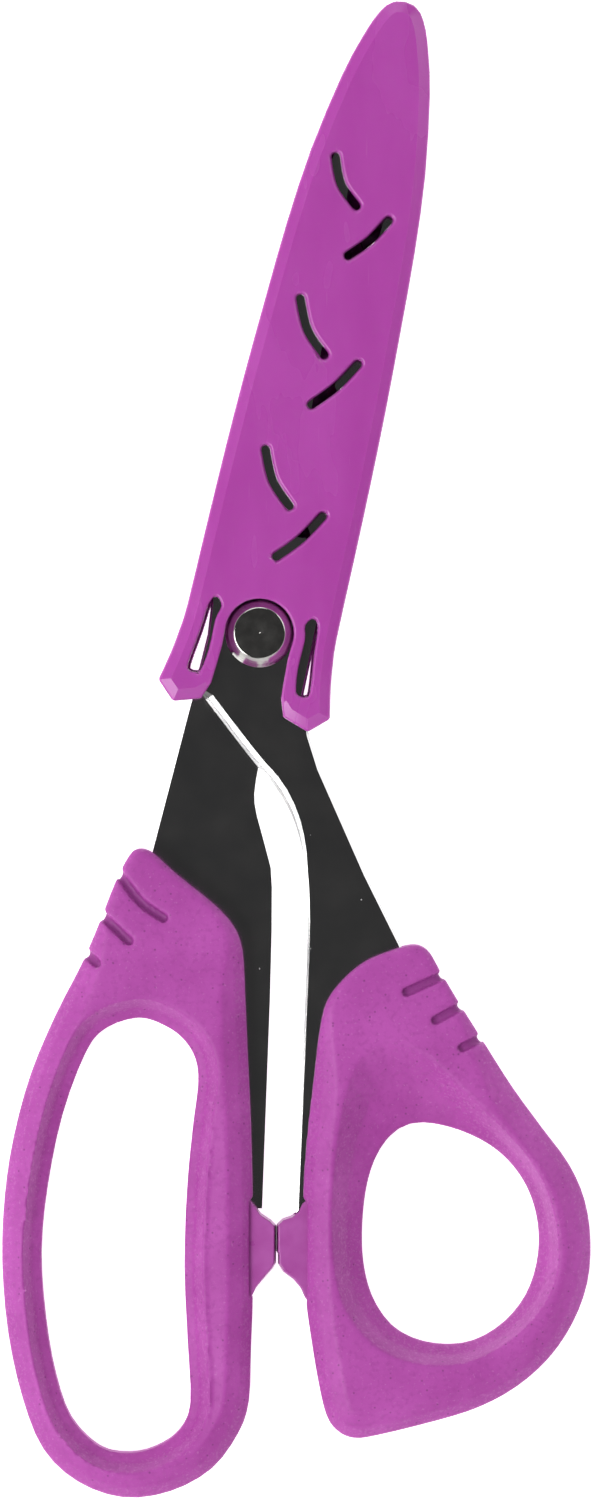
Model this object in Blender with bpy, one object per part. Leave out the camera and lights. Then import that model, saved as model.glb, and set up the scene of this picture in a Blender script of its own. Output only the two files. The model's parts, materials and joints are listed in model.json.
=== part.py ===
"""Decorative edge scissors in their sheath: two toothed blades with soft grip handles on one pivot.

Frame: metres, origin on the pivot axis at the flat rear face of the pivot nut.  +Z is the pivot axis and
points out of the front, +Y points to the tips and +X to the thumb handle.  The scissors are closed.

Plan positions are in millimetres from the pivot axis.  Blades and sheath also use the sheath's own axes:
across (u) and along (v), where v leans from +Y towards +X by TILT.  Heights are in millimetres from the
parting plane, where the two halves meet, and side is +1 on the front half and -1 on the back half.
"""

import math

import bmesh
import bpy
from mathutils import Matrix, Vector
from mathutils.geometry import intersect_line_line_2d, tessellate_polygon

MM = 0.001

# Clearances
RUN = 0.1  # each blade stands this far from the parting plane
FIT = 0.3  # round a piece that is held in another

# Blades
TILT = math.radians(13.0)
BLADE = 2.45  # parting plane to the outer face of a blade
EDGE_CHAMFER = 1.25  # width along the inner edge of a shank
EDGE_CHAMFER_DEPTH = 0.62
EDGE_STEPS = ((0.0, 1.0), (0.32, 0.66), (0.38, 0.64), (1.0, 0.0))  # two facets with a narrow land between
EDGE_BREAK = 0.28  # share of the chamfer that goes on round the rest of a blade
EDGE_FADE = (25.0, 37.0)  # below the pivot, where the chamfer starts to narrow and is narrowest
TOOTH_PITCH = 4.5
TOOTH = 0.65  # height of a tooth above and below the parting plane
TEETH_START = 17.0
RELIEF = 0.3  # how much deeper the hollow behind the teeth is than a tooth
TEETH_WIDTH = 6.5
BEVEL_RUN = 4.0
EDGE_HEEL = (5.3, 15.0)  # (u, v) of the two ends of the front blade's cutting edge
EDGE_TIP = (0.5, 93.0)
SPINE_ROOM = 0.75  # between a blade's spine and the inside of the sheath, near the pivot
SPINE_TAPER = 0.022  # how much that grows over each millimetre towards the tip
TAPER_START = 26.0
TOOTH_SECTOR = 60  # degrees each side of the blade axis
TOOTH_STEP = 3

# Pivot
SHAFT = 2.4  # radius
HEAD = 5.25  # radius of the cone's foot
HEAD_TOP = 3.88  # radius of the flat
HEAD_RIM = 0.08  # height of the foot's upright edge
HEAD_HEIGHT = 1.5
STACK_GAP = 0.15  # between the pieces along the pivot
WASHER = 0.5
WASHER_RADIUS = 4.6
NUT = 1.8
NUT_CHAMFER = 0.5
NUT_FLOOR = 0.7  # closed end of the nut
NUT_FLAT = 3.2  # half of the distance over the two spanner flats

# Handles
GRIP = 6.0  # parting plane to the top of a grip
CROWN = 3.8  # width of the rounded outer edge of a grip
CROWN_DROP = 2.6  # how far it falls to the outline
CROWN_STEPS = ((0.0, 1.0), (0.42, 0.46), (1.0, 0.0))  # its section, as shares of the width and the drop
SHOULDER = 0.22  # share of the crown that is left where the blade enters
SHOULDER_RUN = (6.0, 24.0)  # below the blade's entry, where the crown starts to widen and is full
HOLE_STEPS = ((0.0, 2.6), (1.5, 3.3), (3.0, 5.9))  # finger hole wall: (out from the hole, height)
HOLE_SAG = 0.5  # how much lower the inside of the limbs is than the crown
THUMB_STEPS = ((0.0, 0.8), (0.5, 2.7), (1.0, GRIP))  # thumb hole wall: (share of the scoop, height)
CORE = 3.6
CORE_COVER = 1.6  # grip outside a core
CORE_HOLE_COVER = 2.9  # grip between a core and the finger hole
CORE_SCOOP_COVER = 0.8  # how far a core stays outside the thumb hole's scoop
BOSS = 3.2
BOSS_FIT = 0.12
BOSS_DRAFT = 0.24  # how far the free sides of a boss draw in from its middle to its top
DRAFT_RUN = 1.6  # across a boss from its root, until the draft is full
NECK = 2.2  # half height of the bar that joins a boss to its core
GROOVE = 1.45
GROOVE_DEPTH = (0.5, 1.05)  # at the outline and at the top

# Sheath
SHEATH_WALL = 1.4
SHEATH_ROOM = 0.5  # between the blades' outer faces and the inside of the sheath
SHEATH_CHAMFER = 1.7  # in plan
SHEATH_CHAMFER_DEPTH = 0.75
LEG_DRAFT = 0.55  # how much smaller a leg slot is at the back than at the front
VENT_DRAFT = 0.28  # how much smaller a slot is on the inside of the front wall than on the front
SHEATH = BLADE + SHEATH_ROOM + SHEATH_WALL
HEAD_SLOPE = (HEAD - HEAD_TOP) / (HEAD_HEIGHT - HEAD_RIM)
NOTCH = HEAD - HEAD_SLOPE * (SHEATH_ROOM - STACK_GAP - HEAD_RIM) + FIT  # clears the cone over its foot
NUT_RADIUS = NOTCH - FIT
SLOT = 1.7
SLOT_REACH = (2.75, 3.8)  # half of a slot's extent in u and v
SLOT_BOWS = (0.6, 0.3)  # how far the middle of a left and of a right slot bends out
SLOT_U = 2.65
SLOT_ROWS = ((70.35, 62.65, 0.87), (47.5, 39.65, 1.0), (23.8, 15.8, 1.0))  # left v, right v, size

# Height of the parting plane over the origin
PARTING = BLADE + 2 * STACK_GAP + WASHER + NUT

# Half widths of the sheath (u, v) from the foot to the tip
SHEATH_SIDE = (
    (13.5, -10.4), (12.6, -6.0), (12.05, -2.0), (11.75, 2.0), (11.65, 14.0), (11.5, 26.0),
    (11.2, 38.0), (10.7, 50.0), (10.1, 62.0), (9.0, 74.0), (6.95, 86.0), (5.35, 92.0),
    (4.0, 95.8), (2.7, 98.0), (1.4, 98.95),
)
SHEATH_TIP = 99.2
SHEATH_FOOT = ((5.6, -10.8), (6.6, -11.8), (10.6, -13.1))
NOTCH_SIDE = ((-0.15, -3.0), (0.0, -6.0), (0.2, -9.0), (1.1, -11.6), (1.1, -18.0))  # u from NOTCH
LEG_SLOT = (
    (7.6, 4.1), (8.6, 2.8), (9.0, -1.5), (9.65, -7.0), (9.2, -8.0), (8.2, -8.1),
    (7.4, -7.5), (6.9, -4.0), (6.95, 0.5), (6.5, 2.8),
)

# Plan outlines of the steel beside the pivot, in u and v
SPINE_STATIONS = (88, 83, 77, 70, 62, 50, 38, 26, 14)
SPINE_HEEL = ((9.1, 7.0), (8.2, 2.5))
FRONT_HEEL = ((-7.7, -2.0), (-7.8, -7.5), (-7.1, -10.4))
FRONT_RIGHT = ((8.7, -7.6), (8.6, -1.5), (8.5, 3.0), (7.7, 8.5), (6.4, 12.5))
BACK_HEEL = ((7.3, -2.0), (7.2, -7.5), (6.6, -10.2))
BACK_LEFT = ((-7.5, -8.0), (-7.6, -1.5), (-7.9, 3.0), (-7.5, 8.5), (-6.4, 12.5))

# Plan outlines of the steel below the pivot, in x and y
FRONT_SHANK_LEFT = (
    (-8.2, -10.2), (-4.0, -15.7), (-0.2, -20.5), (1.9, -22.8), (4.4, -26.8), (6.0, -31.0),
    (7.0, -36.4), (7.4, -44.2), (7.0, -56.2), (6.3, -72.0), (5.6, -88.8),
)
FRONT_TANG = ((9.3, -88.8), (9.7, -77.0), (10.8, -68.0), (13.4, -61.5), (18.0, -57.8), (22.6, -54.6))
FRONT_SHANK_RIGHT = ((21.7, -47.8), (16.3, -36.9), (12.0, -27.2), (9.2, -20.8), (7.6, -15.7))
BACK_SHANK_LEFT = ((-10.6, -11.2), (-16.4, -33.5))
BACK_TANG = ((-17.9, -40.0), (-16.8, -46.0), (-12.6, -52.0), (-7.8, -57.0), (-5.4, -66.0), (-4.2, -88.2))
BACK_SHANK_RIGHT = (
    (0.4, -88.2), (1.6, -56.2), (1.9, -39.0), (1.3, -34.3), (-0.4, -28.0), (-0.8, -24.6), (-0.2, -20.7),
)

# Plan outlines of the handles, in x and y
FINGER_BOW = (
    (-18.5, -33.0), (-16.4, -33.6), (-12.8, -36.8), (-7.1, -41.4), (-4.0, -44.8), (-2.6, -48.5),
    (-2.2, -55.0), (-1.8, -64.0), (-1.3, -75.0), (-1.0, -88.0), (-1.0, -101.0), (-1.3, -110.0),
    (-1.6, -117.5), (-3.2, -122.4), (-7.3, -127.9), (-13.7, -131.4), (-20.9, -132.3), (-27.8, -129.9),
    (-33.1, -124.9), (-36.3, -117.0), (-38.5, -107.0), (-39.4, -96.0), (-39.0, -86.0), (-37.6, -76.9),
    (-35.0, -67.4), (-31.2, -58.4), (-27.3, -50.8), (-24.6, -44.6), (-22.0, -38.0), (-19.9, -34.0),
)
FINGER_HOLE = (
    (-18.5, -58.9), (-23.5, -60.5), (-26.6, -64.2), (-30.2, -73.8), (-32.5, -85.0), (-33.4, -95.0),
    (-32.7, -105.0), (-31.2, -113.5), (-28.8, -120.2), (-24.4, -124.6), (-19.9, -125.5),
    (-15.9, -124.6), (-12.4, -122.2), (-10.6, -118.0), (-11.0, -108.5), (-11.5, -97.0),
    (-11.1, -85.0), (-10.2, -75.5), (-9.4, -69.0), (-9.8, -65.2), (-11.6, -62.2), (-14.5, -60.1),
)
THUMB_BOW = (
    (23.4, -47.7), (19.2, -48.9), (15.9, -50.4), (12.8, -53.0), (10.3, -56.4), (9.2, -61.0),
    (8.4, -67.5), (7.4, -76.0), (6.7, -85.0), (6.7, -94.0), (7.1, -101.9), (8.0, -108.5),
    (9.0, -114.5), (10.2, -119.6), (11.8, -122.0), (14.3, -123.2), (18.0, -122.8), (27.7, -120.4),
    (33.8, -118.4), (39.3, -115.4), (44.2, -111.1), (47.9, -105.7), (50.2, -99.5), (50.7, -93.0),
    (49.8, -86.8), (47.4, -81.3), (43.4, -75.9), (38.8, -69.6), (34.6, -63.0), (30.4, -56.3),
    (27.5, -51.4), (25.8, -48.6),
)
THUMB_CENTRE = (29.0, -92.0)
THUMB_HOLE = (
    (25.4, -75.0), (21.6, -75.8), (18.7, -78.7), (16.7, -83.5), (15.8, -90.0), (16.0, -96.8),
    (17.7, -102.5), (21.2, -106.8), (26.6, -108.8), (32.4, -108.5), (37.4, -105.6), (41.0, -101.0),
    (42.7, -95.0), (42.4, -89.0), (40.3, -83.6), (36.4, -79.2), (31.0, -76.3),
)
SCOOP = (
    (20.6, -62.3), (16.9, -63.5), (14.1, -67.1), (12.2, -75.0), (11.1, -85.5), (11.2, -95.5),
    (12.6, -102.4), (15.7, -107.2), (20.2, -110.6), (25.8, -112.0), (31.8, -111.6), (37.6, -108.8),
    (42.4, -104.4), (45.2, -99.4), (45.9, -94.0), (44.8, -87.4), (42.0, -81.2), (37.0, -75.4),
    (31.6, -70.2), (26.0, -64.7),
)
FRONT_BOSS = (
    (7.2, -86.6), (6.5, -87.3), (5.9, -88.5), (4.9, -89.2), (3.5, -89.7), (2.65, -90.6), (2.65, -94.7),
    (2.8, -95.1), (2.8, -96.6), (3.6, -97.9), (5.2, -99.1), (6.3, -100.4), (6.9, -101.7), (7.2, -102.4),
)
FRONT_NECK = ((6.9, -90.0), (6.9, -98.6), (9.6, -98.6), (9.6, -90.0))
BACK_BOSS = (
    (-1.5, -86.4), (-0.6, -87.7), (0.3, -88.9), (1.8, -89.9), (2.5, -90.7), (2.5, -94.8),
    (2.48, -96.5), (2.1, -97.3), (0.9, -98.7), (-0.4, -100.2), (-1.1, -101.5), (-1.5, -102.4),
)
BACK_NECK = ((-1.2, -90.0), (-1.2, -98.6), (-3.6, -98.6), (-3.6, -90.0))
FINGER_GROOVES = (
    ((-22.6, -35.0), (-20.9, -37.6), (-18.1, -41.2), (-14.6, -43.6)),
    ((-25.2, -41.8), (-23.4, -43.8), (-19.9, -47.1)),
    ((-28.0, -47.6), (-26.1, -49.4), (-24.8, -50.5)),
)
THUMB_GROOVES = (
    ((29.4, -51.9), (27.4, -52.7), (22.5, -54.9)),
    ((32.4, -56.4), (30.3, -57.4), (26.9, -59.2)),
    ((35.4, -61.3), (33.3, -62.3), (31.0, -63.4)),
)

# Finishes: colour, metallic, roughness
STEEL = ("blade_steel", (0.30, 0.30, 0.31), 1.0, 0.22)
PLATED = ("pivot_steel", (0.55, 0.54, 0.53), 1.0, 0.16)
SPRING = ("washer_steel", (0.42, 0.42, 0.43), 1.0, 0.35)
SOFT = ("purple_soft_grip", (0.474, 0.112, 0.413), 0.0, 0.62)
HARD = ("purple_hard_plastic", (0.413, 0.078, 0.361), 0.0, 0.38)
CASE = ("purple_sheath_plastic", (0.418, 0.062, 0.366), 0.0, 0.34)


def clear_scene():
    for obj in list(bpy.data.objects):
        bpy.data.objects.remove(obj, do_unlink=True)


# Plan geometry -----------------------------------------------------------------------------------------


def axes(u, v):
    """Plan point at u across and v along the sheath."""
    return (u * math.cos(TILT) + v * math.sin(TILT), v * math.cos(TILT) - u * math.sin(TILT))


def spline(points, steps, closed=True):
    """A smooth line through the points, with steps sides from each to the next."""
    count = len(points)
    line = []
    for i in range(count if closed else count - 1):
        if closed:
            a, b, c, d = (points[(i + k) % count] for k in (-1, 0, 1, 2))
        else:
            a, b, c, d = (points[min(max(i + k, 0), count - 1)] for k in (-1, 0, 1, 2))
        for j in range(steps):
            t = j / steps
            line.append(tuple(
                0.5 * (2 * q + (r - p) * t + (2 * p - 5 * q + 4 * r - s) * t * t
                       + (3 * q - p - 3 * r + s) * t ** 3)
                for p, q, r, s in zip(a, b, c, d)
            ))
    if not closed:
        line.append(tuple(points[-1]))
    return line


def area(loop):
    return 0.5 * sum(a[0] * b[1] - b[0] * a[1] for a, b in zip(loop, loop[1:] + loop[:1]))


def each(value, loop):
    """One value for each point of the loop, from such a list or from a single number."""
    return value if isinstance(value, list) else [value] * len(loop)


def offset(loop, distance):
    """The loop moved outwards by distance, or inwards if it is negative, with mitred corners.

    Where the moved loop would cross itself, the points between are closed up to the crossing, so the
    loop keeps its count.
    """
    turn = 1 if area(loop) > 0 else -1
    moved = []
    neighbours = zip(loop[-1:] + loop[:-1], loop, loop[1:] + loop[:1], each(distance, loop))
    for before, here, after, reach in neighbours:
        first = (Vector(here) - Vector(before)).normalized()
        second = (Vector(after) - Vector(here)).normalized()
        out = Vector((first.y + second.y, -first.x - second.x)) * turn
        moved.append(Vector(here) + out * reach * 2 / max(out.length_squared, 0.25))
    count = len(loop)
    for i in range(count):
        for reach in range(count // 4, 1, -1):
            j = (i + reach) % count
            crossing = intersect_line_line_2d(
                moved[i], moved[(i + 1) % count], moved[j], moved[(j + 1) % count])
            if crossing:
                for k in range(1, reach + 1):
                    moved[(i + k) % count] = crossing
                break
    return [tuple(point) for point in moved]


def distinct(loop):
    """The loop without points that repeat the one before."""
    return [here for before, here in zip(loop[-1:] + loop[:-1], loop) if math.dist(before, here) > 0.02]


def circle(radius, sides, start=0.0, turn=2 * math.pi):
    """Points on an arc round the pivot, without the last when it is a full turn."""
    count = sides if turn >= 2 * math.pi else sides + 1
    return [
        (radius * math.cos(start + turn * i / sides), radius * math.sin(start + turn * i / sides))
        for i in range(count)
    ]


def capsule(line, width):
    """A slot with round ends along the line."""
    ends = 6
    near, far = [], []
    for i, here in enumerate(line):
        step = Vector(line[min(i + 1, len(line) - 1)]) - Vector(line[max(i - 1, 0)])
        side = Vector((-step.y, step.x)).normalized() * width / 2
        near.append(tuple(Vector(here) + side))
        far.append(tuple(Vector(here) - side))
    start, finish = Vector(line[0]), Vector(line[-1])
    loop = list(near)
    arm = Vector(near[-1]) - finish
    for k in range(1, ends):
        turned = arm.copy()
        turned.rotate(Matrix.Rotation(-math.pi * k / ends, 2))
        loop.append(tuple(finish + turned))
    loop += far[::-1]
    arm = Vector(far[0]) - start
    for k in range(1, ends):
        turned = arm.copy()
        turned.rotate(Matrix.Rotation(-math.pi * k / ends, 2))
        loop.append(tuple(start + turned))
    return loop


def by_angle(loop, centre, count):
    """The closed loop cut by evenly turned rays from a centre inside it."""
    cut = []
    for k in range(count):
        ray = (math.cos(2 * math.pi * k / count), math.sin(2 * math.pi * k / count))
        for a, b in zip(loop, loop[1:] + loop[:1]):
            side = (b[0] - a[0], b[1] - a[1])
            cross = ray[0] * side[1] - ray[1] * side[0]
            if abs(cross) < 1e-9:
                continue
            gap = (a[0] - centre[0], a[1] - centre[1])
            reach = (gap[0] * side[1] - gap[1] * side[0]) / cross
            along = (gap[0] * ray[1] - gap[1] * ray[0]) / cross
            if reach > 0 and 0 <= along < 1:
                cut.append((centre[0] + reach * ray[0], centre[1] + reach * ray[1]))
                break
    return cut


# Solids ------------------------------------------------------------------------------------------------


def finish_mesh(name, bm):
    bmesh.ops.remove_doubles(bm, verts=bm.verts, dist=1e-7)
    bmesh.ops.recalc_face_normals(bm, faces=bm.faces)
    mesh = bpy.data.meshes.new(name)
    bm.to_mesh(mesh)
    bm.free()
    obj = bpy.data.objects.new(name, mesh)
    bpy.context.scene.collection.objects.link(obj)
    return obj


def loft(name, rings, hole_rings=()):
    """A solid with walls through rings of (loop, height), and one hole through hole_rings.

    The first rings of both share a height, and so do the last.  A height may be one for each point.
    """
    bm = bmesh.new()
    ends = ([], [])
    for stack in (rings, hole_rings):
        if not stack:
            continue
        rows = [
            [bm.verts.new((x * MM, y * MM, z * MM)) for (x, y), z in zip(loop, each(height, loop))]
            for loop, height in stack
        ]
        for low, high in zip(rows, rows[1:]):
            for i in range(len(low)):
                j = (i + 1) % len(low)
                bm.faces.new((low[i], low[j], high[j], high[i]))
        ends[0].append(rows[0])
        ends[1].append(rows[-1])
    for loops in ends:
        flat = [vert for loop in loops for vert in loop]
        for corners in tessellate_polygon([[vert.co for vert in loop] for loop in loops]):
            bm.faces.new([flat[k] for k in corners])
    return finish_mesh(name, bm)


def prism(name, loop, low, high):
    return loft(name, [(loop, min(low, high)), (loop, max(low, high))])


def turned(name, profile, sides):
    """A solid of revolution round the pivot from (radius, height) points that start and end on the axis."""
    bm = bmesh.new()
    rows = []
    for radius, z in profile:
        if radius == 0:
            rows.append([bm.verts.new((0, 0, z * MM))])
        else:
            rows.append([bm.verts.new((x * MM, y * MM, z * MM)) for x, y in circle(radius, sides)])
    for low, high in zip(rows, rows[1:]):
        for i in range(sides):
            j = (i + 1) % sides
            corners = [low[i % len(low)], low[j % len(low)], high[j % len(high)], high[i % len(high)]]
            bm.faces.new(list(dict.fromkeys(corners)))
    return finish_mesh(name, bm)


def combine(obj, tool, operation="DIFFERENCE"):
    """Applies one exact Boolean and removes the tool."""
    modifier = obj.modifiers.new("cut", "BOOLEAN")
    modifier.object = tool
    modifier.operation = operation
    modifier.solver = "EXACT"
    bpy.context.view_layer.update()
    graph = bpy.context.evaluated_depsgraph_get()
    mesh = bpy.data.meshes.new_from_object(obj.evaluated_get(graph))
    obj.modifiers.clear()
    obj.data = mesh
    bpy.data.objects.remove(tool, do_unlink=True)


def smooth(obj, degrees):
    obj.data.shade_smooth()
    obj.data.set_sharp_from_angle(angle=math.radians(degrees))


def finish(obj, look):
    name, colour, metallic, roughness = look
    material = bpy.data.materials.get(name) or bpy.data.materials.new(name)
    material.use_nodes = True
    shader = material.node_tree.nodes["Principled BSDF"]
    shader.inputs["Base Color"].default_value = (*colour, 1)
    shader.inputs["Metallic"].default_value = metallic
    shader.inputs["Roughness"].default_value = roughness
    obj.data.materials.clear()
    obj.data.materials.append(material)


def empty(name, turn=0.0):
    """A frame on the pivot axis at the parting plane."""
    obj = bpy.data.objects.new(name, None)
    obj.location = (0, 0, PARTING * MM)
    obj.rotation_euler = (0, 0, turn)
    obj.empty_display_size = 0.02
    bpy.context.scene.collection.objects.link(obj)
    return obj


# Blades ------------------------------------------------------------------------------------------------


def sheath_half_width(v):
    for (low_u, low_v), (high_u, high_v) in zip(SHEATH_SIDE, SHEATH_SIDE[1:]):
        if low_v <= v <= high_v:
            return low_u + (high_u - low_u) * (v - low_v) / (high_v - low_v)
    return SHEATH_SIDE[0][0]


def spine(side):
    """The back of a blade from its tip to beside the pivot."""
    line = []
    for v in SPINE_STATIONS:
        room = SPINE_ROOM + SPINE_TAPER * max(0.0, v - TAPER_START)
        line.append((-side * (sheath_half_width(v) - SHEATH_WALL - room), v))
    heel = [(-side * u, v) for u, v in SPINE_HEEL]
    points = [(side * EDGE_TIP[0], EDGE_TIP[1])] + line + heel
    return [axes(u, v) for u, v in spline(points, 2, closed=False)]


def front_outline():
    """The plan of the front blade from its tip, and the width of its chamfer at each point."""
    heel = [axes(u, v) for u, v in FRONT_HEEL]
    right = [axes(u, v) for u, v in FRONT_RIGHT]
    inner = spline(FRONT_SHANK_LEFT, 2, closed=False)
    below = spline(FRONT_TANG, 2, closed=False)
    rest = below + list(FRONT_SHANK_RIGHT) + right + [axes(*EDGE_HEEL)]
    return with_chamfer(spine(1) + heel, inner, rest)


def back_outline():
    """The plan of the back blade from its tip, and the width of its chamfer at each point."""
    heel = [axes(u, v) for u, v in BACK_HEEL]
    left = [axes(u, v) for u, v in BACK_LEFT]
    inner = spline(BACK_SHANK_RIGHT[::-1], 2, closed=False)
    below = spline(BACK_TANG[::-1], 2, closed=False)
    rest = below + list(BACK_SHANK_LEFT[::-1]) + left + [axes(-EDGE_HEEL[0], EDGE_HEEL[1])]
    return with_chamfer(spine(-1) + heel, inner, rest)


def with_chamfer(before, inner, after):
    """The joined outline, and the chamfer's width: full on the inner edge and narrow elsewhere."""
    start, end = EDGE_FADE
    widths = []
    for _, y in inner:
        share = min(max((-y - start) / (end - start), 0.0), 1.0)
        widths.append(EDGE_CHAMFER * (1 - (1 - EDGE_BREAK) * share))
    narrow = EDGE_CHAMFER * EDGE_BREAK
    return before + inner + after, [narrow] * len(before) + widths + [narrow] * len(after)


def tooth_height(radius):
    """Height of the meshing face: a zigzag in the distance from the pivot, so the blades can turn."""
    place = (radius - TEETH_START) / TOOTH_PITCH + 0.25
    return TOOTH * (1 - 4 * abs(place - math.floor(place) - 0.5))


def tooth_cutter(side):
    """Everything inside the meshing face of one blade, as a sector round the pivot."""
    flanks = math.ceil(2 * (EDGE_TIP[1] + TOOTH_PITCH - TEETH_START) / TOOTH_PITCH)
    crests = [TEETH_START + TOOTH_PITCH * (0.25 + 0.5 * k) for k in range(flanks)]
    profile = [(TEETH_START - 1.5, 0.0), (TEETH_START, 0.0)]
    profile += [(radius, tooth_height(radius)) for radius in crests]
    inner = [(radius, side * height + RUN) for radius, height in profile]
    section = inner + [(inner[-1][0], -3.0), (inner[0][0], -3.0)]
    middle = math.pi / 2 - TILT
    bm = bmesh.new()
    rows = []
    for k in range(-TOOTH_SECTOR, TOOTH_SECTOR + 1, TOOTH_STEP):
        angle = middle + math.radians(k)
        rows.append([
            bm.verts.new((r * math.cos(angle) * MM, r * math.sin(angle) * MM, side * z * MM))
            for r, z in section
        ])
    for first, second in zip(rows, rows[1:]):
        for i in range(len(section)):
            j = (i + 1) % len(section)
            bm.faces.new((first[i], first[j], second[j], second[i]))
    for row in (rows[0], rows[-1]):
        for corners in tessellate_polygon([[Vector((r, z, 0)) for r, z in section]]):
            bm.faces.new([row[k] for k in corners])
    return finish_mesh("tooth_cutter", bm)


def flat_cutter(side):
    """Everything inside the flat face of a blade: all round the pivot, up to where the teeth start."""
    arc = circle(TEETH_START, 2 * TOOTH_SECTOR // TOOTH_STEP,
                 math.pi / 2 - TILT - math.radians(TOOTH_SECTOR), math.radians(2 * TOOTH_SECTOR))
    reach = 60
    loop = arc + [axes(-reach, TEETH_START / 2), axes(-reach, -120), axes(reach, -120),
                  axes(reach, TEETH_START / 2)]
    return prism("flat_cutter", loop, -3.0 * side, RUN * side)


def edge_frame(side):
    """Heel of the cutting edge, the direction to its tip and the direction out of the blade."""
    heel, tip = (Vector(axes(side * u, v)) for u, v in (EDGE_HEEL, EDGE_TIP))
    along = (tip - heel).normalized()
    return heel, along, Vector((along.y, -along.x)) * side


def relief_cutter(side):
    heel, along, out = edge_frame(side)
    inner = heel - out * TEETH_WIDTH
    start, end = inner + along * 1.5, inner + along * 90
    loop = [tuple(p) for p in (start, end, end - out * 20, start - out * 20)]
    return prism("relief_cutter", loop, -3.0 * side, (TOOTH + RELIEF) * side)


def bevel_cutter(side):
    """Outside the ground bevel, which meets the toothed face in a zigzag edge."""
    heel, along, out = edge_frame(side)
    lean = BEVEL_RUN / (BLADE + TOOTH)
    low, high = -TOOTH - 1, BLADE + 1
    section = ((6.0, low), (lean, low), (-BEVEL_RUN - lean, high), (6.0, high))
    bm = bmesh.new()
    rows = []
    for reach in (0.8, 90.0):
        rows.append([
            bm.verts.new((*((heel + along * reach + out * n) * MM), side * z * MM)) for n, z in section
        ])
    for i in range(len(section)):
        j = (i + 1) % len(section)
        bm.faces.new((rows[0][i], rows[0][j], rows[1][j], rows[1][i]))
    bm.faces.new(rows[0])
    bm.faces.new(rows[1])
    return finish_mesh("bevel_cutter", bm)


def build_blade(name, side, outline, widths):
    rings = [(outline, [-(TOOTH + RELIEF) * side] * len(outline))]
    for across, down in EDGE_STEPS:
        loop = offset(outline, [-across * width for width in widths])
        depths = [down * EDGE_CHAMFER_DEPTH * width / EDGE_CHAMFER for width in widths]
        rings.append((loop, [(BLADE - depth) * side for depth in depths]))
    body = loft(name, rings[::side])
    for cutter in (flat_cutter, tooth_cutter, relief_cutter, bevel_cutter):
        combine(body, cutter(side))
    combine(body, prism("bore", circle(SHAFT + FIT, 48), -4, 4))
    finish(body, STEEL)
    return body


# Handles -----------------------------------------------------------------------------------------------


def both_ways(rings):
    """Rings above the parting plane, repeated below it."""
    below = [(loop, [-z for z in each(height, loop)]) for loop, height in rings[::-1]]
    return below + list(rings)


def past_shoulder(loop, entry):
    """0 near the height where the blade enters, rising smoothly to 1 further down."""
    start, end = SHOULDER_RUN
    shares = []
    for _, y in loop:
        t = min(max((entry - y - start) / (end - start), 0.0), 1.0)
        shares.append(t * t * (3 - 2 * t))
    return shares


def crowned(bow, side=0.0, top=0.0):
    """Rings over the outer edge of a grip, or of the same shape shrunk by side and by top.

    The crown is narrow at the shoulder, where the blade enters, and full further down.
    """
    entry = max(y for _, y in bow)
    shares = [SHOULDER + (1 - SHOULDER) * share for share in past_shoulder(bow, entry)]
    rings = []
    for width, drop in CROWN_STEPS:
        loop = offset(bow, [-side - (CROWN - side) * width * share for share in shares])
        rings.append((loop, [GRIP - top - (CROWN_DROP - top / 2) * drop * share for share in shares]))
    return both_ways(rings)


def tang_pocket(side, outline):
    loop = offset(outline, FIT)
    return prism("tang_pocket", loop, (RUN - FIT) * side, (BLADE + FIT) * side)


def drafted(boss):
    """Rings of a boss that is widest at the parting plane, except at its root."""
    root = boss[0][0]
    draft = [-BOSS_DRAFT * min(abs(x - root) / DRAFT_RUN, 1.0) for x, _ in boss]
    top = offset(list(boss), draft)
    return [(top, -BOSS), (list(boss), 0.0), (top, BOSS)]


def build_core(name, side, outer, hole, boss, neck, outline):
    core = loft(name, both_ways([(outer, CORE)]), both_ways([(hole, CORE)]))
    combine(core, prism("neck", list(neck), -NECK, NECK), "UNION")
    combine(core, loft("boss", drafted(boss)), "UNION")
    combine(core, tang_pocket(side, outline))
    finish(core, HARD)
    return core


def build_grip(name, side, bow, hole_rings, core_loops, boss, neck, outline, grooves):
    grip = loft(name, crowned(bow), hole_rings)
    outer, hole = core_loops
    space = CORE + FIT
    outer_rings = both_ways([(offset(outer, FIT), space)])
    combine(grip, loft("core_room", outer_rings, both_ways([(offset(hole, -FIT), space)])))
    combine(grip, prism("neck_room", offset(list(neck), FIT), -NECK - FIT, NECK + FIT))
    combine(grip, prism("boss_window", offset(list(boss), BOSS_FIT), -GRIP, GRIP))
    combine(grip, tang_pocket(side, outline))
    for line in grooves:
        loop = capsule(spline(line, 3, closed=False), GROOVE)
        cutter = prism("groove", loop, -GRIP - 1, GRIP + 1)
        combine(cutter, loft("groove_floor", crowned(bow, *GROOVE_DEPTH)))
        combine(grip, cutter)
    finish(grip, SOFT)
    return grip


def build_finger_handle(outline):
    bow = spline(FINGER_BOW, 3)
    hole = spline(FINGER_HOLE, 3)
    core_loops = (distinct(offset(bow, -CORE_COVER)), offset(hole, CORE_HOLE_COVER))
    sags = [HOLE_SAG * share for share in past_shoulder(hole, max(y for _, y in hole))]
    walls = [(offset(hole, out), height) for out, height in HOLE_STEPS]
    walls.append((walls[-1][0], [GRIP - sag for sag in sags]))
    core = build_core("back_handle_core", -1, *core_loops, BACK_BOSS, BACK_NECK, outline)
    grip = build_grip(
        "back_handle_grip", -1, bow,
        both_ways(walls),
        core_loops, BACK_BOSS, BACK_NECK, outline, FINGER_GROOVES,
    )
    return core, grip


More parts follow.
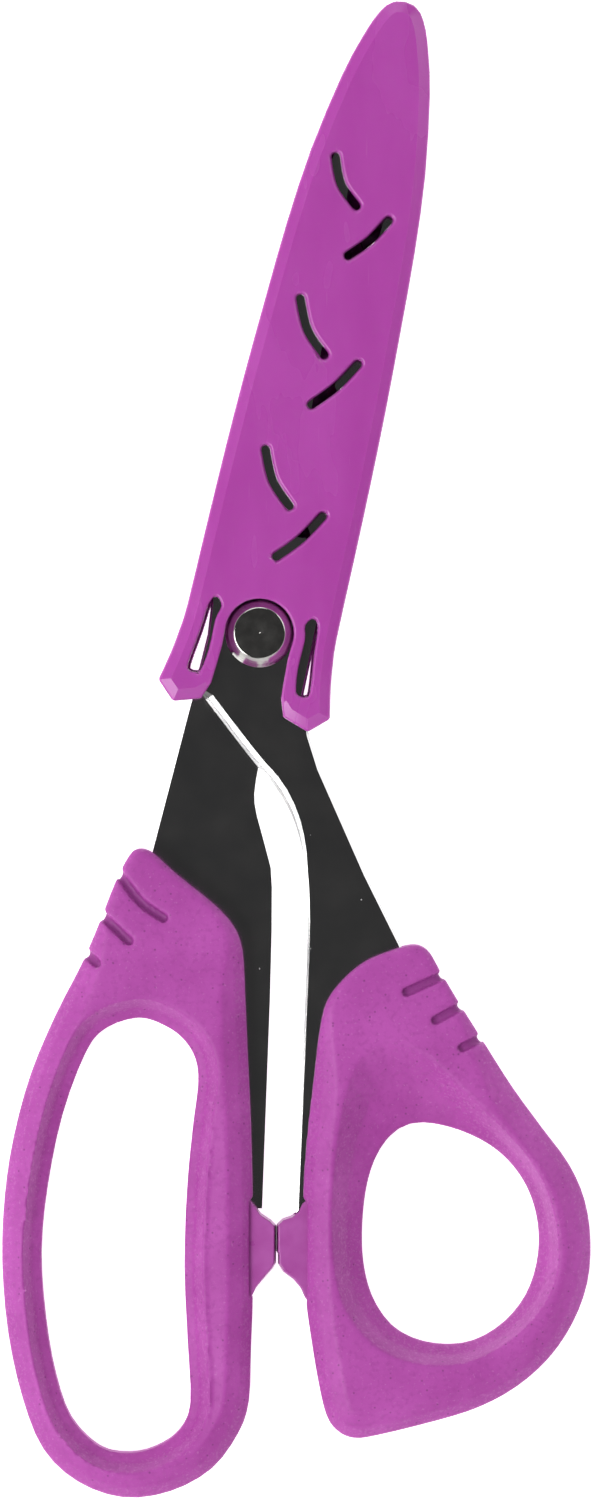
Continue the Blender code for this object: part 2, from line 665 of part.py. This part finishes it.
def build_thumb_handle(outline):
    bow = spline(THUMB_BOW, 3)
    rays = 56
    hole = by_angle(spline(THUMB_HOLE, 4), THUMB_CENTRE, rays)
    scoop = by_angle(spline(SCOOP, 4), THUMB_CENTRE, rays)
    core_loops = (distinct(offset(bow, -CORE_COVER)), offset(scoop, CORE_SCOOP_COVER))
    walls = []
    for share, height in THUMB_STEPS:
        loop = [tuple(Vector(inner).lerp(Vector(outer), share)) for inner, outer in zip(hole, scoop)]
        walls.append((loop, height))
    core = build_core("front_handle_core", 1, *core_loops, FRONT_BOSS, FRONT_NECK, outline)
    grip = build_grip(
        "front_handle_grip", 1, bow,
        both_ways(walls),
        core_loops, FRONT_BOSS, FRONT_NECK, outline, THUMB_GROOVES,
    )
    return core, grip


# Pivot -------------------------------------------------------------------------------------------------


def build_pivot():
    head = BLADE + STACK_GAP
    washer_top = -BLADE - STACK_GAP
    nut_top = washer_top - WASHER - STACK_GAP
    nut_back = nut_top - NUT
    bolt = turned("pivot_bolt", [
        (0, nut_back + NUT_FLOOR + STACK_GAP), (SHAFT, nut_back + NUT_FLOOR + STACK_GAP), (SHAFT, head),
        (HEAD, head), (HEAD, head + HEAD_RIM), (HEAD_TOP, head + HEAD_HEIGHT), (0, head + HEAD_HEIGHT),
    ], 48)
    finish(bolt, PLATED)
    washer = prism("spring_washer", circle(WASHER_RADIUS, 48), washer_top, washer_top - WASHER)
    combine(washer, prism("bore", circle(SHAFT + FIT, 48), -6, 6))
    finish(washer, SPRING)
    nut = turned("pivot_nut", [
        (0, nut_back), (NUT_RADIUS - NUT_CHAMFER, nut_back), (NUT_RADIUS, nut_back + NUT_CHAMFER),
        (NUT_RADIUS, nut_top), (0, nut_top),
    ], 48)
    combine(nut, prism("bore", circle(SHAFT + FIT, 48), nut_back + NUT_FLOOR, nut_top + 1))
    for way in (-1, 1):
        flat = [(-8, way * NUT_FLAT), (8, way * NUT_FLAT), (8, way * 8), (-8, way * 8)]
        combine(nut, prism("spanner_flat", flat, nut_back - 1, nut_back + NUT / 2))
    finish(nut, PLATED)
    for obj in (bolt, washer, nut):
        smooth(obj, 30)
    return bolt, washer, nut


# Sheath ------------------------------------------------------------------------------------------------


def mirrored(line):
    """A line of points on the right, with its mirror image on the left, as one loop."""
    return list(line) + [(-u, v) for u, v in reversed(line)]


def slot_line(centre, mirror, size):
    reach_u, reach_v = (size * reach for reach in SLOT_REACH)
    bow = SLOT_BOWS[0] if mirror > 0 else SLOT_BOWS[1]
    line = [(-reach_u, reach_v), (-bow, -bow), (reach_u, -reach_v)]
    return [(mirror * (u - SLOT_U), v + centre) for u, v in spline(line, 6, closed=False)]


def build_sheath():
    side = spline(SHEATH_SIDE, 2, closed=False)
    foot = list(SHEATH_FOOT)
    tip = [(0.0, SHEATH_TIP)]
    right = foot + side
    outer = right + tip + [(-u, v) for u, v in reversed(right)]
    edge = SHEATH - SHEATH_CHAMFER_DEPTH
    sheath = loft("sheath", both_ways([(outer, edge), (offset(outer, -SHEATH_CHAMFER), SHEATH)]))
    long_side = [(side[0][0], -20.0)] + side
    long_outer = long_side + tip + [(-u, v) for u, v in reversed(long_side)]
    room = BLADE + SHEATH_ROOM
    combine(sheath, prism("blade_room", offset(long_outer, -SHEATH_WALL), -room, room))
    notch_side = [(NOTCH + u, v) for u, v in NOTCH_SIDE]
    notch = circle(NOTCH, 16, 0.0, math.pi)
    notch += [(-u, v) for u, v in notch_side] + notch_side[::-1]
    combine(sheath, prism("notch", notch, -SHEATH - 1, SHEATH + 1))
    for mirror in (-1, 1):
        leg = spline([(mirror * u, v) for u, v in LEG_SLOT], 3)
        combine(sheath, loft("leg_slot", [(offset(leg, -LEG_DRAFT), -SHEATH - 1), (leg, SHEATH + 1)]))
    for left, right_v, size in SLOT_ROWS:
        for mirror, centre in ((1, left), (-1, right_v)):
            slot = capsule(slot_line(centre, mirror, size), SLOT)
            inner = offset(slot, -VENT_DRAFT)
            rings = [(inner, -SHEATH - 1), (inner, room), (slot, SHEATH), (slot, SHEATH + 1)]
            combine(sheath, loft("vent", rings))
    finish(sheath, CASE)
    smooth(sheath, 25)
    return sheath


def main():
    clear_scene()
    front, front_chamfer = front_outline()
    back, back_chamfer = back_outline()
    halves = {
        "front_half": (build_blade("front_blade", 1, front, front_chamfer), *build_thumb_handle(front)),
        "back_half": (build_blade("back_blade", -1, back, back_chamfer), *build_finger_handle(back)),
        "pivot": build_pivot(),
    }
    for name, pieces in halves.items():
        frame = empty(name)
        for piece in pieces:
            piece.parent = frame
    build_sheath().parent = empty("sheath_slide", -TILT)
    for side in ("front", "back"):
        for kind in ("core", "grip"):
            smooth(bpy.data.objects[f"{side}_handle_{kind}"], 25)


main()
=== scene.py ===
"""Looks of the decorative edge scissors: soft grips, moulded sheath, ground steel, camera and light.

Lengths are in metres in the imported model's frame: +Z out of the front, +Y to the tips, +X to the thumb.
"""

import json
import math

import bmesh
import bpy
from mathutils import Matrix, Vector


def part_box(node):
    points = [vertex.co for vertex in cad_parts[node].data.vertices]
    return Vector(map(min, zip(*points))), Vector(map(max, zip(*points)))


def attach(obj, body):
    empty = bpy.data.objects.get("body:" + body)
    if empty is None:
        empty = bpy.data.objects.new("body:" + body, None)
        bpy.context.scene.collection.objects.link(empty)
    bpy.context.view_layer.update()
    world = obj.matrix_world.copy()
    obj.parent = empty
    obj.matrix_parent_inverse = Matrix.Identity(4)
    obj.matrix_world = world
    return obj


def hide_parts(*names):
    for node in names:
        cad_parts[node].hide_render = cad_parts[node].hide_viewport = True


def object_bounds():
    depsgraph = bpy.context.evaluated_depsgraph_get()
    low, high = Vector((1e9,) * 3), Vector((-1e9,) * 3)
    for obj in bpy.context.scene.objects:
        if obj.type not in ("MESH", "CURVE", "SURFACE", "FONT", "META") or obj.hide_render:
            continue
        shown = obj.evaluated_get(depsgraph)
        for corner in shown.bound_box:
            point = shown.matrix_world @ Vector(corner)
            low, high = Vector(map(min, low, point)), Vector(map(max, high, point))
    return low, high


MM = 0.001
TILT = math.radians(13.0)  # the sheath leans this far from +Y towards +X

WELD = 0.002 * MM  # corners nearer than this are one
GRIP_VOXEL = 0.33 * MM
GRIP_ROUNDS = 2  # of smoothing after the remesh
GRIP_SMOOTHING = 0.5
CORE_EDGE = 0.22 * MM  # width of the bevel that rounds a handle core's edges
SHEATH_EDGE = 0.38 * MM
TURNED_EDGE = 0.08 * MM  # on the nut and the washer
BLADE_SHARP = 9  # degrees, half the 18 at which a full chamfer's facets meet its land

# The stop bosses of the handle cores
SEAT = 0.3 * MM  # how far a boss is let into the soft grip round it
STOP = 0.068 * MM  # how much nearer to each other the bosses' noses come
PARTING = 5.05 * MM  # height of the parting plane
THUMB_BOSS = (7.2 * MM, 2.65 * MM)  # x of the boss's root and of its nose
FINGER_BOSS = (-1.5 * MM, 2.5 * MM)
ON_ROOT = 0.05 * MM  # corners this near to the root's x stand on it
ON_NOSE = 0.03 * MM
ON_PARTING = 0.05 * MM

# The pivot bolt
SHAFT = 2.4 * MM
HEAD_TOP = 3.88 * MM  # radius of the head's flat
HEAD_RIM = 0.08 * MM  # height of the foot's upright edge
HEAD_HEIGHT = 1.5 * MM
HEAD_ROUND = 0.12 * MM
MARK = 0.12 * MM  # radius of the centre mark's floor
MARK_FLOOR = 0.03 * MM
MARK_DEPTH = 0.2 * MM
BOLT_SIDES = 160

# The grooves of the grips repeat the CAD's: middle lines in x and y millimetres
GROOVE_WIDTH = 1.45 * MM
GROOVE_FADE = 0.2 * MM  # from full painted shade inside a groove to none at its edge
GROOVES_END = -70 * MM  # no groove is lower in y
FINGER_GROOVES = (
    ((-22.6, -35.0), (-20.9, -37.6), (-18.1, -41.2), (-14.6, -43.6)),
    ((-25.2, -41.8), (-23.4, -43.8), (-19.9, -47.1)),
    ((-28.0, -47.6), (-26.1, -49.4), (-24.8, -50.5)),
)
THUMB_GROOVES = (
    ((29.4, -51.9), (27.4, -52.7), (22.5, -54.9)),
    ((32.4, -56.4), (30.3, -57.4), (26.9, -59.2)),
    ((35.4, -61.3), (33.3, -62.3), (31.0, -63.4)),
)

# The stage
FLOOR_HALF = 1.5
FLOOR_GAP = 0.05 * MM
SOFTBOXES = (  # name, compass direction, elevation, distance, size, watts
    ("key_light", 205, 52, 1.1, (0.7, 0.6), 9.0),
    ("fill_light", 28, 42, 1.2, (0.6, 0.6), 2.0),
    ("far_light", 100, 45, 1.3, (0.8, 0.6), 2.8),
    ("near_light", 290, 45, 1.3, (0.7, 0.6), 1.4),
)
FRAME_HEIGHT = 230.0 * MM  # what the picture's long side takes in
FRAME_CENTRE = (5.75 * MM, -17.9 * MM)
CAMERA_DISTANCE = 1.8
SENSOR = 36.0  # millimetres along the picture's long side

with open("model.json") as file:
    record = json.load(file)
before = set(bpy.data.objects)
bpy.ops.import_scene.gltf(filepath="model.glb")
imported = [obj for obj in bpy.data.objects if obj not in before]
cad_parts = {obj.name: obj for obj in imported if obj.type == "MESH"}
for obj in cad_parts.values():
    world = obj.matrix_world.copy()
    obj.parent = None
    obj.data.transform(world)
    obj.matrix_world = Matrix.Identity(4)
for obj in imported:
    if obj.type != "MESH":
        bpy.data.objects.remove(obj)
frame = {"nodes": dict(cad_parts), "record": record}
cad_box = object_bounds()


# Meshes ------------------------------------------------------------------------------------------------


def welded(node):
    """A CAD node's mesh with its split corners joined and its flat faces whole."""
    bm = bmesh.new()
    bm.from_mesh(frame["nodes"][node].data)
    bmesh.ops.remove_doubles(bm, verts=bm.verts, dist=WELD)
    bmesh.ops.dissolve_limit(bm, angle_limit=math.radians(0.2), verts=bm.verts[:], edges=bm.edges[:])
    return bm


def piece(name, bm, node, sharp=180.0):
    """A new object that stands for a CAD node, smooth where its faces meet at less than sharp degrees."""
    mesh = bpy.data.meshes.new(name)
    bm.to_mesh(mesh)
    bm.free()
    normals = mesh.attributes.get("custom_normal")
    if normals:
        mesh.attributes.remove(normals)
    obj = bpy.data.objects.new(name, mesh)
    bpy.context.scene.collection.objects.link(obj)
    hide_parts(node)
    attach(obj, body_of(node))
    mesh.materials.clear()
    shade(obj, sharp)
    return obj


def body_of(node):
    groups = frame["record"]["behaviour"]["bodies"]
    return next(body for body, nodes in groups.items() if node in nodes)


def shade(obj, sharp):
    obj.data.shade_smooth()
    obj.data.set_sharp_from_angle(angle=math.radians(sharp))


def modified(obj, kind, **settings):
    """Adds a modifier and applies it."""
    modifier = obj.modifiers.new(kind.title(), kind)
    for key, value in settings.items():
        setattr(modifier, key, value)
    bpy.context.view_layer.update()
    graph = bpy.context.evaluated_depsgraph_get()
    made = bpy.data.meshes.new_from_object(obj.evaluated_get(graph))
    obj.modifiers.clear()
    obj.data = made


def round_edges(obj, width, segments, sharp, **settings):
    """Bevels the edges where faces meet at more than sharp degrees."""
    modified(obj, "BEVEL", width=width, segments=segments, limit_method="ANGLE",
             angle_limit=math.radians(sharp), use_clamp_overlap=False, **settings)


def soften(obj, voxel, rounds):
    """Remeshes a moulded piece evenly and rounds its edges."""
    modified(obj, "REMESH", mode="VOXEL", voxel_size=voxel, use_smooth_shade=True)
    modified(obj, "SMOOTH", factor=GRIP_SMOOTHING, iterations=rounds)
    shade(obj, 180.0)


def lathe(profile, sides):
    """A solid of revolution round the pivot axis through (radius, height) points."""
    bm = bmesh.new()
    rows = []
    for radius, z in profile:
        if radius == 0:
            rows.append([bm.verts.new((0, 0, z))])
            continue
        turns = (math.tau * k / sides for k in range(sides))
        rows.append([bm.verts.new((radius * math.cos(t), radius * math.sin(t), z)) for t in turns])
    for low, high in zip(rows, rows[1:]):
        for i in range(sides):
            j = (i + 1) % sides
            corners = [low[i % len(low)], low[j % len(low)], high[j % len(high)], high[i % len(high)]]
            bm.faces.new(list(dict.fromkeys(corners)))
    bmesh.ops.recalc_face_normals(bm, faces=bm.faces)
    return bm


# Materials ---------------------------------------------------------------------------------------------


class Look:
    """A node material around one Principled shader."""

    def __init__(self, name, **uniform):
        self.material = bpy.data.materials.new(name)
        self.material.use_nodes = True
        self.tree = self.material.node_tree
        self.shader = self.tree.nodes["Principled BSDF"]
        self.place = self.add("ShaderNodeTexCoord").outputs["Object"]
        for key, value in uniform.items():
            self.shader.inputs[key.replace("_", " ")].default_value = value

    def add(self, kind, inputs=None, **settings):
        node = self.tree.nodes.new(kind)
        for key, value in settings.items():
            setattr(node, key, value)
        for key, value in (inputs or {}).items():
            self.set(node.inputs[key], value)
        return node

    def set(self, socket, value):
        if isinstance(value, bpy.types.NodeSocket):
            self.tree.links.new(value, socket)
        else:
            socket.default_value = value

    def stretched(self, scale, turn=0.0):
        """Object coordinates scaled along the axes after a turn about Z."""
        return self.add("ShaderNodeMapping", {
            "Vector": self.place, "Rotation": (0, 0, turn), "Scale": scale}).outputs["Vector"]

    def noise(self, size, detail, place=None):
        """Noise whose main features are this size, in metres."""
        return self.add("ShaderNodeTexNoise", {
            "Vector": place or self.place, "Scale": 1 / size, "Detail": detail,
            "Roughness": 0.55}).outputs["Fac"]

    def spots(self, size, share, radius):
        """1 in small round spots, which stand in this share of the cells of this size.

        The radius is a share of the cell's size.
        """
        cells = self.add("ShaderNodeTexVoronoi", {
            "Vector": self.place, "Scale": 1 / size, "Randomness": 1.0})
        near = self.remap(cells.outputs["Distance"], radius / 2, radius, 1.0, 0.0)
        kept = self.remap(
            self.add("ShaderNodeSeparateColor", {"Color": cells.outputs["Color"]}).outputs["Red"],
            share, share + 0.01, 1.0, 0.0)
        return self.math("MULTIPLY", near, kept)

    def remap(self, value, low, high, to_low, to_high):
        return self.add("ShaderNodeMapRange", {
            "Value": value, "From Min": low, "From Max": high, "To Min": to_low, "To Max": to_high,
        }).outputs["Result"]

    def math(self, operation, a, b):
        return self.add("ShaderNodeMath", {0: a, 1: b}, operation=operation).outputs["Value"]

    def mix(self, factor, a, b):
        node = self.add("ShaderNodeMix", data_type="RGBA")
        self.set(node.inputs[0], factor)
        for socket, value in ((node.inputs[6], a), (node.inputs[7], b)):
            self.set(socket, value if isinstance(value, bpy.types.NodeSocket) else (*value, 1))
        return node.outputs[2]

    def edges(self, radius):
        """1 on edges rounder than this radius and 0 on flats, from the bevelled normal."""
        bent = self.add("ShaderNodeBevel", {"Radius": radius}, samples=6).outputs["Normal"]
        straight = self.add("ShaderNodeNewGeometry").outputs["Normal"]
        alike = self.add("ShaderNodeVectorMath", {0: bent, 1: straight}, operation="DOT_PRODUCT")
        return self.remap(alike.outputs["Value"], 0.99, 0.80, 0.0, 1.0)

    def tilted(self):
        """1 on faces that slope down from the front and 0 on level and on upright ones."""
        apart = self.add("ShaderNodeSeparateXYZ", {
            "Vector": self.add("ShaderNodeNewGeometry").outputs["Normal"]})
        rise = apart.outputs["Z"]
        return self.math("MULTIPLY", self.remap(rise, 0.93, 0.70, 0, 1), self.remap(rise, 0.15, 0.35, 0, 1))

    def bump(self, height, depth, strength, normal=None):
        inputs = {"Height": height, "Distance": depth, "Strength": strength}
        if normal:
            inputs["Normal"] = normal
        return self.add("ShaderNodeBump", inputs).outputs["Normal"]

    def finish(self, colour, roughness, normal):
        self.set(self.shader.inputs["Base Color"], colour)
        self.set(self.shader.inputs["Roughness"], roughness)
        self.set(self.shader.inputs["Normal"], normal)
        return self.material


def soft_grip():
    """Matte soft-touch rubber with fine grain and a few dark specks of dust, with painted shade in its
    grooves and painted highlights on its edges and slopes.
    """
    look = Look("soft_grip_rubber", Specular_IOR_Level=0.32)
    clouds = look.noise(11 * MM, 4)
    mottle = look.noise(0.8 * MM, 3)
    grain = look.noise(0.16 * MM, 2)
    colour = look.mix(look.remap(clouds, 0.35, 0.65, 0, 1), (0.42, 0.060, 0.365), (0.50, 0.084, 0.44))
    colour = look.mix(look.remap(mottle, 0.50, 0.72, 0, 0.5), colour, (0.34, 0.045, 0.295))
    # Pale speckles on sloping faces: partly powdery dust, partly painted sheen where those faces catch the
    # light.
    powder_and_sheen = look.math("MULTIPLY", look.tilted(), look.remap(look.noise(0.4 * MM, 2), 0.52, 0.68, 0, 0.22))
    colour = look.mix(powder_and_sheen, colour, (0.76, 0.36, 0.70))
    dust = look.remap(look.noise(0.5 * MM, 3), 0.62, 0.74, 0, 0.35)
    colour = look.mix(dust, colour, (0.62, 0.24, 0.57))
    specks = look.spots(0.8 * MM, 0.12, 0.26)
    colour = look.mix(look.math("MULTIPLY", specks, 0.7), colour, (0.20, 0.035, 0.18))
    # Painted shade: the groove floors are coloured darker where the groove attribute is high.
    groove_shade = look.add("ShaderNodeAttribute", attribute_name="groove").outputs["Fac"]
    colour = look.mix(look.math("MULTIPLY", groove_shade, 0.75), colour, (0.25, 0.034, 0.22))
    # Painted highlight: rounded edges are coloured paler as if they catch the light.
    colour = look.mix(look.math("MULTIPLY", look.edges(0.14 * MM), 0.5), colour, (0.72, 0.34, 0.66))
    roughness = look.remap(mottle, 0.3, 0.7, 0.44, 0.56)
    normal = look.bump(grain, 0.02 * MM, 0.6)
    return look.finish(colour, roughness, look.bump(mottle, 0.05 * MM, 0.4, normal))


def hard_handle():
    """The harder, shinier plastic of the handle cores, with painted highlights on its edges."""
    look = Look("handle_core_plastic")
    clouds = look.noise(4 * MM, 4)
    grain = look.noise(0.3 * MM, 2)
    colour = look.mix(look.remap(clouds, 0.35, 0.65, 0, 1), (0.40, 0.072, 0.345), (0.45, 0.095, 0.40))
    # Painted highlight: rounded edges are coloured paler as if they catch the light.
    colour = look.mix(look.math("MULTIPLY", look.edges(0.3 * MM), 0.4), colour, (0.62, 0.22, 0.56))
    roughness = look.remap(clouds, 0.3, 0.7, 0.26, 0.38)
    return look.finish(colour, roughness, look.bump(grain, 0.01 * MM, 0.5))


def sheath_plastic():
    """Semi-gloss moulded plastic with faint flow marks and painted highlights that make its edges paler."""
    look = Look("sheath_plastic", Specular_IOR_Level=0.5, Subsurface_Weight=0.3, Subsurface_Scale=1.5 * MM,
                Subsurface_Radius=(1.0, 0.12, 0.8))
    flow = look.noise(9 * MM, 3, look.stretched((1.0, 0.35, 1.0), TILT))
    grain = look.noise(0.35 * MM, 2)
    scuffs = look.noise(0.6 * MM, 2, look.stretched((1.0, 0.06, 1.0), TILT + 0.5))
    colour = look.mix(look.remap(flow, 0.35, 0.65, 0, 1), (0.455, 0.066, 0.405), (0.495, 0.078, 0.445))
    # Painted highlight: the rounded edges are coloured paler as if they catch the light.
    colour = look.mix(look.math("MULTIPLY", look.edges(0.4 * MM), 0.7), colour, (0.80, 0.30, 0.72))
    colour = look.mix(look.remap(scuffs, 0.70, 0.78, 0, 0.22), colour, (0.60, 0.20, 0.55))
    roughness = look.remap(flow, 0.3, 0.7, 0.22, 0.30)
    normal = look.bump(grain, 0.012 * MM, 0.5)
    return look.finish(colour, roughness, look.bump(flow, 0.05 * MM, 0.3, normal))


def blade_steel():
    """Polished steel with fine grinding lines across the blade and bright dust."""
    look = Look("blade_steel_polished", Metallic=1.0)
    lines = look.noise(0.12 * MM, 2, look.stretched((0.03, 1.0, 0.3), TILT))
    clouds = look.noise(7 * MM, 4)
    dust = look.spots(1.3 * MM, 0.02, 0.10)
    colour = look.mix(look.remap(clouds, 0.35, 0.65, 0, 1), (0.60, 0.60, 0.61), (0.64, 0.63, 0.63))
    roughness = look.remap(clouds, 0.3, 0.7, 0.12, 0.15)
    roughness = look.math("ADD", roughness, look.math("MULTIPLY", dust, 0.6))
    return look.finish(colour, roughness, look.bump(lines, 0.004 * MM, 0.35))


def pivot_steel():
    """Turned steel with faint rings round the axis."""
    look = Look("pivot_steel_turned", Metallic=1.0)
    rings = look.add("ShaderNodeTexWave", {
        "Vector": look.place, "Scale": 900.0, "Distortion": 1.5, "Detail": 2.0},
        wave_type="RINGS", rings_direction="Z").outputs["Fac"]
    clouds = look.noise(1.6 * MM, 3)
    colour = look.mix(look.remap(clouds, 0.35, 0.65, 0, 1), (0.60, 0.59, 0.57), (0.70, 0.69, 0.66))
    roughness = look.remap(clouds, 0.3, 0.7, 0.10, 0.16)
    return look.finish(colour, roughness, look.bump(rings, 0.003 * MM, 0.3))


def floor_paper():
    """White paper, lit through from below as on a light table."""
    look = Look("floor_paper", Emission_Color=(1, 1, 1, 1), Emission_Strength=0.9)
    grain = look.noise(0.5 * MM, 2)
    colour = look.mix(grain, (0.86, 0.86, 0.86), (0.88, 0.88, 0.88))
    return look.finish(colour, look.remap(grain, 0, 1, 0.8, 0.9), look.bump(grain, 0.02 * MM, 0.2))


# Pieces ------------------------------------------------------------------------------------------------

def mark_grooves(mesh, grooves):
    """Gives the vertices inside the grooves the value 1 in an attribute, and those near them less; the grip's
    material paints shade into the grooves by it.
    """
    lines = [[Vector(point) * MM for point in line] for line in grooves]
    mark = mesh.attributes.new("groove", "FLOAT", "POINT")
    for vert, value in zip(mesh.vertices, mark.data):
        here = vert.co.xy
        if here.y < GROOVES_END:
            continue
        apart = min(gap_to(here, a, b) for line in lines for a, b in zip(line, line[1:]))
        value.value = min(max((GROOVE_WIDTH / 2 - apart) / GROOVE_FADE, 0.0), 1.0)


def gap_to(here, start, end):
    """The distance from a point to the line from start to end."""
    along = end - start
    share = min(max((here - start).dot(along) / along.length_squared, 0.0), 1.0)
    return (here - start - along * share).length


def build_grip(node, name, material, grooves):
    obj = piece(name, welded(node), node)
    soften(obj, GRIP_VOXEL, GRIP_ROUNDS)
    mark_grooves(obj.data, grooves)
    obj.data.materials.append(material)
    return obj


def build_core(node, name, material, root, nose):
    """A handle core whose boss, from its root to its nose in x, fits tightly in the soft grip."""
    bm = welded(node)
    way = 1 if root > nose else -1
    for vert in bm.verts:
        if abs(vert.co.x - root) < ON_ROOT:
            vert.co.x += way * SEAT
        if abs(vert.co.x - nose) < ON_NOSE and abs(vert.co.z - PARTING) < ON_PARTING:
            vert.co.x -= way * STOP
    obj = piece(name, bm, node, 30)
    round_edges(obj, CORE_EDGE, 3, 40, harden_normals=True)
    obj.data.materials.append(material)
    return obj


def build_sheath(material):
    """The sheath with its edges rounded by the mould."""
    obj = piece("sheath_shell", welded("sheath"), "sheath", 15)
    round_edges(obj, SHEATH_EDGE, 3, 38, harden_normals=True)
    obj.data.materials.append(material)
    return obj


def build_blade(node, name, material):
    obj = piece(name, welded(node), node, BLADE_SHARP)
    obj.data.materials.append(material)
    return obj


def rounded(profile, radius, steps=3):
    """The profile with its inner corners cut to short arcs."""
    made = [profile[0]]
    for before, here, after in zip(profile, profile[1:], profile[2:]):
        here = Vector(here)
        near = (Vector(before) - here).normalized() * radius
        far = (Vector(after) - here).normalized() * radius
        for k in range(steps + 1):
            t = k / steps
            made.append(tuple(here + near * (1 - t) ** 2 + far * t ** 2))
    made.append(profile[-1])
    return made


def build_bolt(material):
    """The bolt turned again with rounded edges and a centre mark in its head."""
    low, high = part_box("pivot_bolt")
    foot, face, under = high.x, high.z, high.z - HEAD_HEIGHT
    body = [(0, low.z), (SHAFT, low.z), (SHAFT, under), (foot, under), (foot, under + HEAD_RIM)]
    cone = rounded([body[-1], (HEAD_TOP, face), (2 * MARK, face)], HEAD_ROUND)
    dimple = [(MARK, face - MARK_FLOOR), (0, face - MARK_DEPTH)]
    obj = piece("pivot_bolt_turned", lathe(body + cone[1:] + dimple, BOLT_SIDES), "pivot_bolt", 40)
    obj.data.materials.append(material)
    return obj


def build_turned(node, name, material):
    obj = piece(name, welded(node), node, 30)
    round_edges(obj, TURNED_EDGE, 2, 40)
    shade(obj, 30)
    obj.data.materials.append(material)
    return obj


# Stage -------------------------------------------------------------------------------------------------


def add_floor():
    bm = bmesh.new()
    bmesh.ops.create_grid(bm, x_segments=2, y_segments=2, size=FLOOR_HALF)
    mesh = bpy.data.meshes.new("floor")
    bm.to_mesh(mesh)
    bm.free()
    floor = bpy.data.objects.new("floor", mesh)
    floor.location.z = cad_box[0].z - FLOOR_GAP
    mesh.materials.append(floor_paper())
    bpy.context.scene.collection.objects.link(floor)


def add_softbox(name, towards, elevation, distance, size, power):
    """A rectangular light at a compass direction (degrees from +X) that looks at the middle of the object."""
    light = bpy.data.lights.new(name, "AREA")
    light.shape = "RECTANGLE"
    light.size, light.size_y = size
    light.energy = power
    lamp = bpy.data.objects.new(name, light)
    a, e = math.radians(towards), math.radians(elevation)
    out = Vector((math.cos(a) * math.cos(e), math.sin(a) * math.cos(e), math.sin(e)))
    middle = (cad_box[0] + cad_box[1]) / 2
    lamp.location = middle + out * distance
    lamp.rotation_euler = (-out).to_track_quat("-Z", "Y").to_euler()
    lamp.visible_camera = False
    bpy.context.scene.collection.objects.link(lamp)


def add_world(horizon, top, clear_from):
    """A white room whose walls are bright at the horizon and whose ceiling is dark."""
    world = bpy.data.worlds.new("studio")
    world.use_nodes = True
    tree = world.node_tree
    way = tree.nodes.new("ShaderNodeTexCoord")
    apart = tree.nodes.new("ShaderNodeSeparateXYZ")
    tree.links.new(way.outputs["Generated"], apart.inputs["Vector"])
    fade = tree.nodes.new("ShaderNodeMapRange")
    fade.interpolation_type = "SMOOTHSTEP"
    for name, value in (("From Min", 0.0), ("From Max", clear_from), ("To Min", horizon), ("To Max", top)):
        fade.inputs[name].default_value = value
    tree.links.new(apart.outputs["Z"], fade.inputs["Value"])
    background = tree.nodes["Background"]
    background.inputs["Color"].default_value = (1, 1, 1, 1)
    tree.links.new(fade.outputs["Result"], background.inputs["Strength"])
    bpy.context.scene.world = world


def add_camera():
    camera = bpy.data.cameras.new("camera")
    camera.sensor_width = SENSOR
    camera.lens = SENSOR * CAMERA_DISTANCE / FRAME_HEIGHT
    camera.clip_end = 10
    obj = bpy.data.objects.new("camera", camera)
    middle = (cad_box[0].z + cad_box[1].z) / 2
    obj.location = (*FRAME_CENTRE, middle + CAMERA_DISTANCE)
    bpy.context.scene.collection.objects.link(obj)
    bpy.context.scene.camera = obj


def main():
    rubber, plastic = soft_grip(), hard_handle()
    build_grip("front_handle_grip", "thumb_grip", rubber, THUMB_GROOVES)
    build_grip("back_handle_grip", "finger_grip", rubber, FINGER_GROOVES)
    build_core("front_handle_core", "thumb_core", plastic, *THUMB_BOSS)
    build_core("back_handle_core", "finger_core", plastic, *FINGER_BOSS)
    build_sheath(sheath_plastic())
    steel = blade_steel()
    build_blade("front_blade", "front_blade_ground", steel)
    build_blade("back_blade", "back_blade_ground", steel)
    pin = pivot_steel()
    build_bolt(pin)
    build_turned("pivot_nut", "pivot_nut_turned", pin)
    build_turned("spring_washer", "spring_washer_ring", pin)

    add_floor()
    for softbox in SOFTBOXES:
        add_softbox(*softbox)
    add_world(horizon=0.9, top=0.04, clear_from=0.75)
    add_camera()
    bpy.context.scene.view_settings.view_transform = "Standard"


main()
